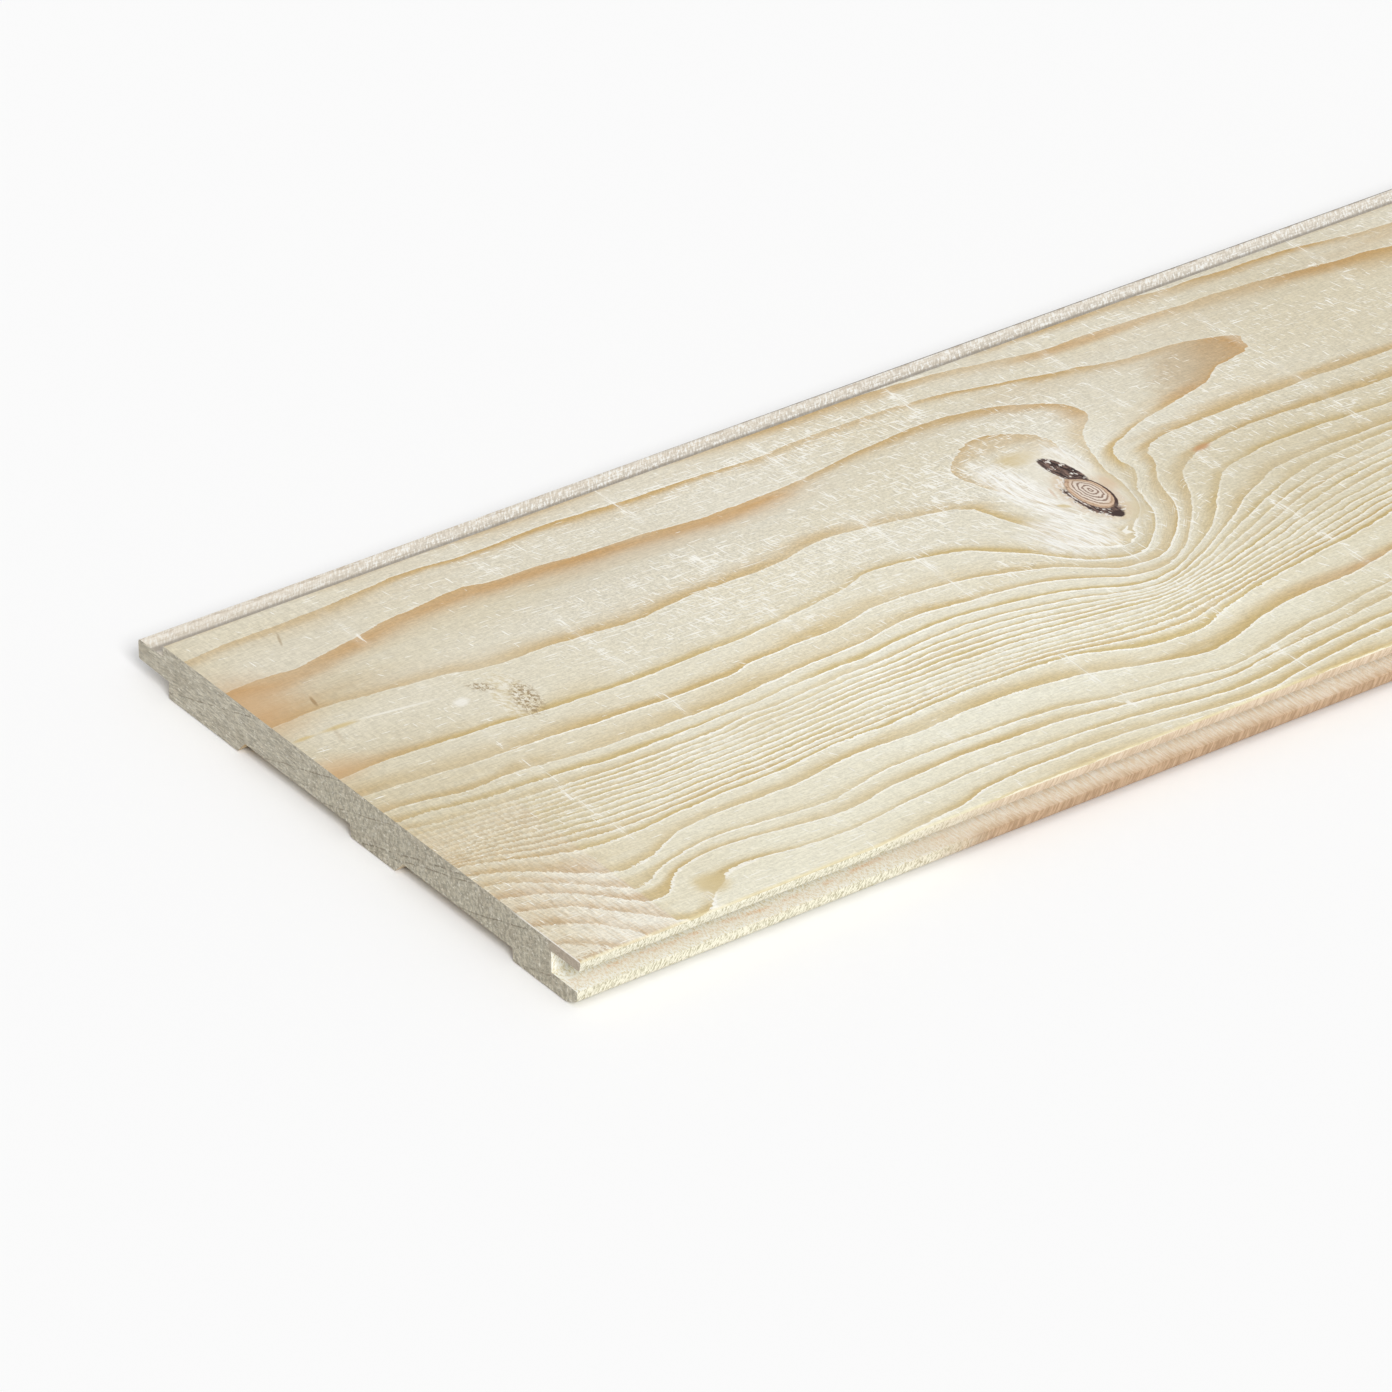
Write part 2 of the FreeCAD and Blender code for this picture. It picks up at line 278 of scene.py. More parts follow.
# Shape.


def rounded(corner, before, after, radius, steps=4):
    """Points of the arc that rounds a corner between its two neighbours."""
    corner, before, after = (np.array(p, float) for p in (corner, before, after))
    to_before = (before - corner) / np.linalg.norm(before - corner)
    to_after = (after - corner) / np.linalg.norm(after - corner)
    half = math.acos(float(np.clip(to_before @ to_after, -1, 1))) / 2
    reach = radius / math.tan(half)
    middle = to_before + to_after
    centre = corner + middle / np.linalg.norm(middle) * (radius / math.sin(half))
    start = corner + to_before * reach - centre
    end = corner + to_after * reach - centre
    sweep = math.pi - 2 * half
    return [
        tuple(centre + (start * math.sin(sweep * (1 - t)) + end * math.sin(sweep * t)) / math.sin(sweep))
        for t in np.linspace(0, 1, steps + 1)
    ]


def run(start, end, step):
    """Points from one section corner to the next, about a step apart, both ends included."""
    count = max(1, int(round(math.dist(start, end) / step)))
    return [
        (start[0] + (end[0] - start[0]) * t, start[1] + (end[1] - start[1]) * t)
        for t in np.linspace(0, 1, count + 1)
    ]


def runs(steps, *corners):
    """Points along a chain of section corners, each stretch with its own step."""
    points = [corners[0]]
    for step, start, end in zip(steps, corners, corners[1:]):
        points += run(start, end, step)[1:]
    return points


def section_runs():
    """The board's section as named runs of points, once round from the groove edge of the face."""
    top, lip = THICKNESS, BACK_LIP[0]
    lip_slope = lip / (LAND_BOTTOM - BACK_LIP[1])
    lip_end = (lip_slope * (LAND_BOTTOM - GROOVE_HIGH[0]), GROOVE_HIGH[0])
    low_lip = (lip, GROOVE_LOW[0] + (GROOVE_LOW[1] - GROOVE_LOW[0]) / GROOVE_ROOT * lip)
    tip_top, tip_under = (TONGUE_TIP, TONGUE_TOP[1]), (TONGUE_TIP, TONGUE_UNDER[1])
    root_top, root_under = (FACE_WIDTH, TONGUE_TOP[0]), (BACK_SHOULDER, TONGUE_UNDER[0])
    land = (0, LAND_BOTTOM)
    face_arris = rounded((0, top), land, (FACE_WIDTH, top), ARRIS_RADIUS)
    shoulder_arris = rounded((FACE_WIDTH, top), (0, top), (FACE_WIDTH, 0), ARRIS_RADIUS)
    face = [(float(v), top) for v in np.arange(1.0, FACE_WIDTH, 1.0)]
    tip_high = rounded(tip_top, root_top, (TONGUE_TIP, 0), TIP_RADIUS)
    tip_low = rounded(tip_under, (TONGUE_TIP, top), root_under, TIP_RADIUS)
    foot = rounded((EASING_END, 0), (TONGUE_TIP, 0), (lip, EASING_TOP), EASING_RADIUS, 3)
    knee = rounded((lip, EASING_TOP), (EASING_END, 0), (lip, top), EASING_RADIUS)
    back = [(BACK_SHOULDER, 0.0)]
    for mouth_near, roof_near, roof_far, mouth_far in reversed(CHANNELS):
        back += [(mouth_far, 0.0), (roof_far, CHANNEL_DEPTH), (roof_near, CHANNEL_DEPTH), (mouth_near, 0.0)]
    back.append(foot[0])
    return [
        ("face", face_arris + face + shoulder_arris),
        ("tongue", runs((0.6, 0.9), shoulder_arris[-1], root_top, tip_high[0])),
        ("tongue", tip_high + run(tip_high[-1], tip_low[0], 1.0)[1:-1] + tip_low),
        ("tongue", runs((1.8, 1.2), tip_low[-1], root_under, (BACK_SHOULDER, 0))),
        ("back", runs((3.5,) * len(back), *back)[:-1] + foot),
        ("edge", run(foot[-1], knee[0], 0.8) + knee[1:] + run(knee[-1], low_lip, 0.5)[1:]),
        ("groove", runs((1.0, 1.1, 1.2), low_lip, (GROOVE_ROOT, GROOVE_LOW[1]),
                        (GROOVE_ROOT, GROOVE_HIGH[1]), lip_end)),
        ("edge", runs((0.4, 0.3), lip_end, land, face_arris[0])),
    ]


def section_loop():
    """The section as one closed loop of (V, Z), and the name of the run that each side belongs to."""
    points, names = [], []
    for name, part in section_runs():
        if points and math.dist(points[-1], part[0]) < HAIR:
            names[-1] = name
            part = part[1:]
        points += part
        names += [name] * len(part)
    return np.array(points[:-1], float), names[:-1]


def stations():
    """Places along the board where its section is repeated."""
    fine = np.arange(0.0, FINE_END, FINE_STEP)
    fine = np.union1d(fine, np.arange(*KNOT_SPAN, FINE_STEP) + FINE_STEP / 2)
    middle = np.arange(FINE_END, MIDDLE_END, MIDDLE_STEP)
    coarse = np.linspace(MIDDLE_END, LENGTH, int(round((LENGTH - MIDDLE_END) / COARSE_STEP)) + 1)
    return np.concatenate([fine, middle, coarse])


# The loose knot's bark lies deeper than the face: centre, half sizes, turn in degrees and depth.
BARK_POCKET = ((166.6, 82.8), (2.05, 6.0), 10.0, 0.45)
BARK_RIM = ((165.0, 72.3), (3.5, 8.0), 1.0, 0.3)
KNOT_HEART = ((165.7, 73.6), (3.1, 6.4), 1.0, 0.3)


def ellipse_off(u, v, centre, radii, turn):
    """How far a place is from an ellipse's centre, where its outline is 1."""
    angle = math.radians(turn)
    along, across = u - centre[0], v - centre[1]
    first = (along * math.cos(angle) + across * math.sin(angle)) / radii[0]
    second = (across * math.cos(angle) - along * math.sin(angle)) / radii[1]
    return np.hypot(first, second)


def bark_depth(u, v):
    """Depth of the bark below the face in millimetres: two soft hollows round the heart."""
    def bowl(centre, radii, turn, depth):
        return depth * np.clip(1.9 - 1.7 * ellipse_off(u, v, centre, radii, turn), 0.0, 1.0)
    hollow = np.maximum(bowl(*BARK_RIM) - bowl(*KNOT_HEART), bowl(*BARK_POCKET))
    return np.maximum(hollow, 0.0)


# Growth rings.


def smooth_line(points, spacing=0.8):
    """A smooth curve through given turning points, sampled closely."""
    knots = np.array(points, float)
    padded = np.vstack([2 * knots[0] - knots[1], knots, 2 * knots[-1] - knots[-2]])
    pieces = []
    for before, start, end, after in zip(padded, padded[1:], padded[2:], padded[3:]):
        length = math.dist(start, end)
        t = np.linspace(0, 1, max(2, int(length / spacing)), endpoint=False)[:, None]
        lean_in = (end - before) * length / (length + math.dist(before, start))
        lean_out = (after - start) * length / (length + math.dist(end, after))
        pieces.append(
            start * (2 * t**3 - 3 * t**2 + 1) + lean_in * (t**3 - 2 * t**2 + t)
            + end * (3 * t**2 - 2 * t**3) + lean_out * (t**3 - t**2)
        )
    return np.vstack(pieces + [knots[-1:]])


def move_aside(line):
    """Bend a ring edge round the knots beyond the shown part."""
    for u, v, _, _, push in FAR_KNOTS:
        along = np.exp(-((line[:, 0] - u) / FAR_KNOT_REACH[0]) ** 2)
        off = line[:, 1] - v
        line[:, 1] += push * along * np.exp(-np.abs(off) / FAR_KNOT_REACH[1]) * off / np.sqrt(off**2 + 6)
    return line


def grid_places(lines, values):
    """The grid cell that each value lies in, and its share of the way across that cell."""
    cell = np.clip(np.searchsorted(lines, values, side="right") - 1, 0, len(lines) - 2)
    return cell, (values - lines[cell]) / (lines[cell + 1] - lines[cell])


def solve_rings(along, across):
    """Ring number at each crossing of two sets of grid lines: smooth, and held at the ring edges."""
    samples = [(move_aside(smooth_line(points)), level) for level, points in RING_EDGES]
    spots = np.vstack([line for line, _ in samples])
    levels = np.concatenate([np.full(len(line), float(level)) for line, level in samples])
    kept = (spots[:, 0] >= along[0]) & (spots[:, 0] <= along[-1])
    kept &= (spots[:, 1] >= across[0]) & (spots[:, 1] <= across[-1])
    spots, levels = spots[kept], levels[kept]
    (i, fu), (j, fv) = grid_places(along, spots[:, 0]), grid_places(across, spots[:, 1])
    shape = (len(along), len(across))
    wide = shape[1]
    corner = np.stack([i * wide + j, (i + 1) * wide + j, i * wide + j + 1, (i + 1) * wide + j + 1], 1)
    share = np.stack([(1 - fu) * (1 - fv), fu * (1 - fv), (1 - fu) * fv, fu * fv], 1)
    stiff_u = ALONG_STIFFNESS * np.gradient(across)[None, :] / np.diff(along)[:, None]
    stiff_v = np.gradient(along)[:, None] / np.diff(across)[None, :]

    def spread(amounts):
        """Pull on the grid's corners by amounts at the samples."""
        pull = np.bincount(corner.ravel(), (share * amounts[:, None]).ravel(), minlength=wide * shape[0])
        return LINE_HOLD * pull.reshape(shape)

    def apply(field):
        out = np.zeros(shape)
        pull_u = np.diff(field, axis=0) * stiff_u
        pull_v = np.diff(field, axis=1) * stiff_v
        out[:-1] -= pull_u
        out[1:] += pull_u
        out[:, :-1] -= pull_v
        out[:, 1:] += pull_v
        return out + spread((field.ravel()[corner] * share).sum(1))

    rings, places = np.array(LEVEL_PLACES, float).T
    field = np.repeat(np.interp(across, places[::-1], rings[::-1])[None, :], shape[0], axis=0)
    rest = spread(levels) - apply(field)
    heading = rest.copy()
    size = (rest * rest).sum()
    for _ in range(SOLVER_ROUNDS):
        pushed = apply(heading)
        stride = size / (heading * pushed).sum()
        field += stride * heading
        rest -= stride * pushed
        new_size = (rest * rest).sum()
        if new_size < SOLVER_REST:
            break
        heading = rest + heading * (new_size / size)
        size = new_size
    return field


def spread_spots(u, v, places):
    """Soft spots over the board, added up, as a share of at most 1."""
    share = np.zeros_like(u)
    for spot_u, spot_v, reach_u, reach_v, amount in places:
        share += amount * np.exp(-((u - spot_u) / reach_u) ** 2 - ((v - spot_v) / reach_v) ** 2)
    return np.minimum(share, 1.0)


def ring_attributes(along, u, v, z):
    """Ring number, rings per millimetre and a place that follows the grain, for every vertex."""
    across = np.arange(GRID_LOW, GRID_HIGH + GRID_STEP / 2, GRID_STEP)
    field = solve_rings(along, across)
    spot = (v[0] - GRID_LOW) / GRID_STEP
    low = np.clip(spot.astype(int), 0, len(across) - 2)
    part = spot - low

    def at_loop(grid):
        return grid[:, low] * (1 - part) + grid[:, low + 1] * part

    level = at_loop(field)
    loop = np.stack([v[0], z[0]], 1)
    tangent = np.roll(loop, -1, axis=0) - np.roll(loop, 1, axis=0)
    tangent /= np.linalg.norm(tangent, axis=1)[:, None]
    slope_v = at_loop(np.gradient(field, across, axis=1))
    on_surface = slope_v * tangent[:, 0] - RINGS_PER_DEPTH * tangent[:, 1]
    rate = np.sqrt(at_loop(np.gradient(field, along, axis=0)) ** 2 + on_surface ** 2)
    for _ in range(2):
        rate[1:-1] = (rate[:-2] + 2 * rate[1:-1] + rate[2:]) / 4
        rate[:, 1:-1] = (rate[:, :-2] + 2 * rate[:, 1:-1] + rate[:, 2:]) / 4
    level_v = np.interp(level, *np.array(LEVEL_PLACES, float).T)
    bent = np.exp(-((u - BEND_MIDDLE[0]) / BEND_REACH[0]) ** 2 - ((v - BEND_MIDDLE[1]) / BEND_REACH[1]) ** 2)
    return {
        "ring": level + RINGS_PER_DEPTH * (THICKNESS - z),
        "rate": np.clip(rate, *RATE_LIMITS),
        "across": v,
        "flow": np.stack([u, v + bent * (level_v - v), z], -1),
        "warm": spread_spots(u, v, WARM_SPOTS),
        "tone": spread_spots(u, v, TONE_SPOTS),
        "fuzz": spread_spots(u, v, FUZZ_SPOTS),
        "faint": spread_spots(u, v, FAINT_SPOTS),
    }


# Mesh.

SLOTS = ("face", "tongue", "edge", "groove", "back", "end")

# The bake map: its least size, the gap between strips, and pixels per millimetre of each surface's
# shown and farther part.
MAP_PIXELS = 1024.0
MAP_GUTTER = 3.0
MAP_SCALES = {"face": (3.1, 1.68), "tongue": (2.1, 1.2), "edge": (3.1, 1.4), "back": (1.09, None)}
END_SCALE = 3.1


def bake_strips(loop, kinds):
    """Lay each surface out as flat strips, one above the other, the shown half at a larger scale."""
    steps = np.linalg.norm(np.roll(loop, -1, axis=0) - loop, axis=1)
    families = []
    for index, kind in enumerate(kinds):
        family = "edge" if kind == "groove" else kind
        if not families or families[-1][0] != family:
            families.append([family, []])
        families[-1][1].append(index)
    if families[0][0] == families[-1][0]:
        families[0][1] = families.pop()[1] + families[0][1]
    strips, row = [], MAP_GUTTER
    for family, sides in families:
        offset = np.concatenate([[0.0], np.cumsum(steps[sides])])
        near, far = MAP_SCALES[family]
        spans = ((0.0, MIDDLE_END, near), (MIDDLE_END, LENGTH, far)) if far else ((0.0, LENGTH, near),)
        for first, last, scale in spans:
            strips.append((sides, offset, first, last, scale, row))
            row += offset[-1] * scale + MAP_GUTTER
    return strips, row


def lay_out_map(mesh, loop, kinds, along):
    """Give every face corner its place on the bake map."""
    count, bays = len(loop), len(along) - 1
    strips, row = bake_strips(loop, kinds)
    side, station = np.tile(np.arange(count), bays), np.repeat(np.arange(bays), count)
    scale, left, low, high = np.zeros((4, count * bays))
    for sides, offset, first, last, size, bottom in strips:
        lookup = np.full(count, -1)
        lookup[sides] = np.arange(len(sides))
        chosen = (lookup[side] >= 0) & (along[station] >= first - HAIR) & (along[station] < last - HAIR)
        k = lookup[side[chosen]]
        scale[chosen], left[chosen] = size, MAP_GUTTER - first * size
        low[chosen], high[chosen] = offset[k] * size + bottom, offset[k + 1] * size + bottom
    near, far = along[station] * scale + left, along[station + 1] * scale + left
    # Corners run as the reversed quads do: far here, far after, near after, near here.
    quads = np.stack([far, low, far, high, near, high, near, low], -1).reshape(-1, 2)
    shift = np.array([TONGUE_TIP * END_SCALE + 4 * MAP_GUTTER, 0.0])
    start = np.array([MAP_GUTTER, row])
    places = np.concatenate([quads, loop * END_SCALE + start, loop[::-1] * END_SCALE + (start + shift)])
    height = row + THICKNESS * END_SCALE + MAP_GUTTER
    layer = mesh.uv_layers.new(name="OFBake")
    layer.uv.foreach_set("vector", (places / max(height, MAP_PIXELS)).astype(np.float32).ravel())


def close_ends(mesh):
    """Split the two end faces into neat triangles."""
    work = bmesh.new()
    work.from_mesh(mesh)
    caps = [face for face in work.faces if len(face.verts) > 4]
    bmesh.ops.triangulate(work, faces=caps, quad_method="BEAUTY", ngon_method="BEAUTY")
    work.to_mesh(mesh)
    work.free()


def build_board():
    """The board's mesh: the section repeated at every station, with a hollow where the bark lies."""
    loop, kinds = section_loop()
    along = stations()
    count, rows = len(loop), len(along)
    u = np.repeat(along[:, None], count, axis=1)
    v, z = (np.repeat(loop[None, :, axis], rows, axis=0) for axis in (0, 1))
    values = ring_attributes(along, u, v, z)
    z = z - np.where(z > THICKNESS - HAIR, bark_depth(u, v), 0.0)
    spots = (np.stack([u, v, z], -1) * MM + np.array(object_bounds()[0])).reshape(-1, 3)
    here = np.arange(count)
    after = (here + 1) % count
    first = (np.arange(rows - 1) * count)[:, None]
    quads = np.stack([first + count + here, first + count + after, first + after, first + here], -1)
    caps = [list(range(count)), list(range((rows - 1) * count, rows * count))[::-1]]
    mesh = bpy.data.meshes.new("softwood_board")
    mesh.from_pydata(spots.tolist(), [], quads.reshape(-1, 4).tolist() + caps)
    slots = [SLOTS.index(kind) for kind in kinds] * (rows - 1) + [SLOTS.index("end")] * 2
    mesh.polygons.foreach_set("material_index", slots)
    for name, numbers in values.items():
        kind, key = ("FLOAT_VECTOR", "vector") if numbers.ndim == 3 else ("FLOAT", "value")
        attribute = mesh.attributes.new(name, kind, "POINT")
        attribute.data.foreach_set(key, numbers.astype(np.float32).ravel())
    lay_out_map(mesh, loop, kinds, along)
    close_ends(mesh)
    mesh.polygons.foreach_set("use_smooth", [True] * len(mesh.polygons))
    mesh.set_sharp_from_angle(angle=math.radians(SHARP_ANGLE))
    board = bpy.data.objects.new("softwood_board", mesh)
    bpy.context.scene.collection.objects.link(board)
    return board


# Materials. Paints are screen colours of 0 to 255, and lengths are millimetres on the board.


def linear(red, green, blue):
    """Turn a screen colour into the linear values that nodes take."""
    def channel(value):
        value /= 255
        return value / 12.92 if value <= 0.04045 else ((value + 0.055) / 1.055) ** 2.4
    return (channel(red), channel(green), channel(blue), 1)


def maths(operation):
    """A method that adds one maths node."""
    def method(self, *values, clamp=False):
        return self.add("ShaderNodeMath", dict(enumerate(values)), operation=operation, use_clamp=clamp)
    return method


class Graph:
    """Adds nodes to one material, and keeps its colour so far. Most methods give back an output socket."""

    plus = maths("ADD")
    less = maths("SUBTRACT")
    product = maths("MULTIPLY")
    over = maths("DIVIDE")
    mad = maths("MULTIPLY_ADD")
    most = maths("MAXIMUM")
    least = maths("MINIMUM")
    size = maths("ABSOLUTE")
    sine = maths("SINE")
    whole = maths("FLOOR")
    modulo = maths("MODULO")

    def __init__(self, name):
        self.material = bpy.data.materials.new(name)
        self.material.use_nodes = True
        self.tree = self.material.node_tree
        self.flow = self.attribute("flow", "Vector")
        self.u, _, self.z = self.split(self.flow)
        self.v = self.attribute("across")
        self.flat = self.join(self.u, self.v, 0)
        self.solid = self.join(self.u, self.v, self.z)
        self.colour = None

    def add(self, kind, inputs=None, output=0, **settings):
        node = self.tree.nodes.new(kind)
        for key, value in settings.items():
            setattr(node, key, value)
        for slot, value in (inputs or {}).items():
            self.feed(node.inputs[slot], value)
        return node.outputs[output]

    def feed(self, socket, value):
        if isinstance(value, bpy.types.NodeSocket):
            self.tree.links.new(value, socket)
        else:
            socket.default_value = value

    def times(self, value, *factors, clamp=False):
        for factor in factors:
            value = self.product(value, factor, clamp=clamp)
        return value

    def attribute(self, name, output="Fac"):
        return self.add("ShaderNodeAttribute", output=output, attribute_name=name)

    def split(self, vector):
        return self.add("ShaderNodeSeparateXYZ", {0: vector}).node.outputs[:3]

    def join(self, x, y, z):
        return self.add("ShaderNodeCombineXYZ", {0: x, 1: y, 2: z})

    def noise(self, vector, per_mm, detail=2, roughness=0.5, turn=None):
        """Soft noise, with its grains per millimetre along each axis, maybe turned by some degrees."""
        if turn is not None:
            inputs = {"Vector": vector, "Angle": math.radians(turn)}
            vector = self.add("ShaderNodeVectorRotate", inputs, rotation_type="Z_AXIS")
        vector = self.add("ShaderNodeVectorMath", {0: vector, 1: per_mm}, operation="MULTIPLY")
        inputs = {"Vector": vector, "Scale": 1, "Detail": detail, "Roughness": roughness}
        return self.add("ShaderNodeTexNoise", inputs)

    def swing(self, vector, per_mm, detail, roughness, amount):
        """Noise that sways round 0 by about an amount."""
        return self.mad(self.noise(vector, per_mm, detail, roughness), amount, -amount / 2)

    def ramp(self, value, low, high, first=0, last=1):
        """Go smoothly from first to last as a value goes from low to high."""
        inputs = {"Value": value, "From Min": low, "From Max": high, "To Min": first, "To Max": last}
        return self.add("ShaderNodeMapRange", inputs, interpolation_type="SMOOTHSTEP")

    def band(self, value, middle, reach):
        """A soft bump: 1 at the middle, 0 at the reach on both sides."""
        return self.ramp(self.size(self.less(value, middle)), reach, 0)

    def strokes(self, vector, turn, per_mm, bar):
        """Thin strokes where drawn-out noise rises above a bar."""
        return self.ramp(self.less(self.noise(vector, per_mm, 1.5, turn=turn), bar), 0, 0.05)

    def far_off(self, centre, radii, turn=0):
        """How far a place on the face is from an ellipse's centre, where its outline is 1."""
        inputs = {
            "Vector": self.flat, "Location": (*centre, 0),
            "Rotation": (0, 0, math.radians(turn)), "Scale": (*radii, 1),
        }
        placed = self.add("ShaderNodeMapping", inputs, vector_type="TEXTURE")
        return self.add("ShaderNodeVectorMath", {0: placed}, output="Value", operation="LENGTH")

    def spot(self, centre, radii, turn, soft, ragged):
        """1 inside an ellipse on the face and 0 outside, with a soft and ragged outline."""
        return self.ramp(self.plus(self.far_off(centre, radii, turn), ragged), 1 + soft, 1 - soft)

    def tint(self, share, below, above):
        below, above = (linear(*c) if isinstance(c, tuple) else c for c in (below, above))
        return self.add("ShaderNodeMix", {0: share, 6: below, 7: above}, output=2, data_type="RGBA")

    def paint(self, paint, *shares):
        """Lay a paint over the colour so far, by the product of some shares."""
        self.colour = self.tint(self.times(*shares), self.colour, paint)

    def shade(self, *amounts):
        """Make the colour so far lighter or darker by a share round 1, or by one for each channel."""
        inputs = {0: 1, 6: self.colour, 7: self.join(*(amounts * 3)[:3])}
        self.colour = self.add("ShaderNodeMix", inputs, output=2, data_type="RGBA", blend_type="MULTIPLY")

    def finish(self, height, roughness, depth):
        bump = self.add("ShaderNodeBump", {"Height": height, "Strength": 1, "Distance": depth})
        surface = self.tree.nodes["Principled BSDF"]
        for name, value in (("Base Color", self.colour), ("Roughness", roughness), ("Normal", bump)):
            self.feed(surface.inputs[name], value)
        return self.material


def ring_bands(g):
    """Latewood share, share of the painted highlight beside each ring line, ring number and two random
    numbers of each ring.
    """
    ring, rate, warm, faint = (g.attribute(name) for name in ("ring", "rate", "warm", "faint"))
    slow = g.noise(g.flow, (0.09, 0.16, 0.16))
    quick = g.noise(g.flow, (0.5, 0.9, 0.9), 3, 0.65)
    shake = g.mad(slow, 2.8, g.mad(quick, 1.5, -2.15))
    hatch = g.noise(g.flat, (1.7, 0.5, 1), 3, 0.7, -18)
    fringe = g.mad(faint, g.ramp(g.v, 66, 46, 0.8, 5), 0.2)
    shake = g.mad(g.less(hatch, 0.5), fringe, shake)
    ring = g.plus(ring, g.times(shake, rate, 0.5))
    whole = g.whole(ring)
    share = g.less(ring, whole)
    chance = g.add("ShaderNodeTexWhiteNoise", {"W": whole}, output="Color", noise_dimensions="1D")
    one, two, three = g.split(chance)
    inner = g.over(g.less(1, share), rate)
    outer = g.over(share, rate)
    swell = g.ramp(g.noise(g.flow, (0.03, 0.14, 0.14)), 0.36, 0.64, 0.65, 1.4)
    crisp = g.times(g.least(g.over(0.6, rate), g.mad(one, 2, 2)), swell)
    crisp = g.mad(warm, 3.4, g.mad(faint, 1, crisp))
    broad = g.times(g.least(g.over(0.85, rate), g.mad(three, 2.6, 3.6)), swell)
    broad = g.mad(warm, 8.5, broad)
    line = g.ramp(g.over(inner, crisp), 1, 0.1)
    wash = g.less(1, g.over(inner, broad), clamp=True)
    late = g.mad(line, 0.58, g.times(wash, 0.42))
    fade = g.noise(g.flow, (0.022, 0.12, 0.12))
    strength = g.times(g.ramp(fade, 0.36, 0.6, 0.65, 1.12), g.mad(two, 0.35, 0.78))
    strength = g.times(strength, g.mad(faint, -0.4, 1))
    late = g.times(late, g.most(strength, g.times(warm, 1.05)), clamp=True)
    # Painted highlight: a pale line along the outer edge of each ring line.
    ring_highlight = g.times(g.ramp(outer, 0.55, 0.22), g.ramp(fade, 0.32, 0.52, 0.5, 1))
    ring_highlight = g.times(ring_highlight, g.mad(faint, -0.8, 1), g.ramp(g.v, 78, 60, 0.3, 1))
    return late, ring_highlight, ring, two, three


PALE_FIBRE = (254, 252, 243)


def raised_fibres(g, planed, late):
    """Short pale fibres that stand up from the planed face, in clusters and along the planer marks, with
    dark strokes of painted shadow among them.
    """
    cluster = g.ramp(g.noise(g.flow, (0.05, 0.11, 0.11), 3, 0.6), 0.4, 0.62)
    crowd = g.mad(planed, 0.4, g.mad(g.attribute("fuzz"), 0.7, g.times(cluster, 0.4)))
    bar = g.mad(late, 0.08, g.mad(crowd, -0.1, 0.68))
    cross = g.plus(bar, g.ramp(g.u, 150, 100, 0, 0.03))
    fuzz = g.strokes(g.flat, -6, (2.4, 0.24, 1), cross)
    fuzz = g.most(fuzz, g.strokes(g.flat, -25, (2.3, 0.28, 1), cross))
    fuzz = g.most(fuzz, g.strokes(g.flow, 4, (0.24, 2.4, 2.4), bar))
    # Painted shadow: dark strokes among the raised fibres.
    fibre_shadows = g.strokes(g.flat, -13, (2.3, 0.3, 1), cross)
    g.shade(g.mad(fibre_shadows, -0.11, 1))
    g.paint(PALE_FIBRE, fuzz, 0.85)


def heart_rings(g, off, dark, light):
    """Fine rings of a knot's cut heart."""
    shake = g.noise(g.flat, (0.6, 0.5, 0.5), 3, 0.6)
    wave = g.sine(g.mad(off, 31, g.times(shake, 9)))
    return g.tint(g.ramp(wave, -0.3, 1), light, dark)


def knot_heart(g, off, jag):
    """The cut heart: fine wavy rings off its middle, browner towards its outline."""
    rings = g.far_off((166.2, 74.3), (2.9, 6.2), 1)
    wood = heart_rings(g, rings, (146, 120, 104), (233, 219, 204))
    wood = g.tint(g.ramp(off, 0.6, 0.95, 0, 0.8), wood, (208, 174, 140))
    return g.tint(g.ramp(g.plus(off, jag), 0.95, 1.05, 0, 0.7), wood, (150, 108, 84))


def knot_bark(g):
    """Dark bark with brown streaks and pale flecks."""
    streak = g.noise(g.flat, (1.9, 0.3, 1), 3, 0.7, -8)
    bark = g.tint(g.ramp(streak, 0.4, 0.62), (46, 31, 29), (132, 106, 94))
    fleck = g.noise(g.flat, (1.9, 0.5, 1), 2, 0.6, -8)
    return g.tint(g.ramp(fleck, 0.61, 0.65), bark, (240, 235, 226))


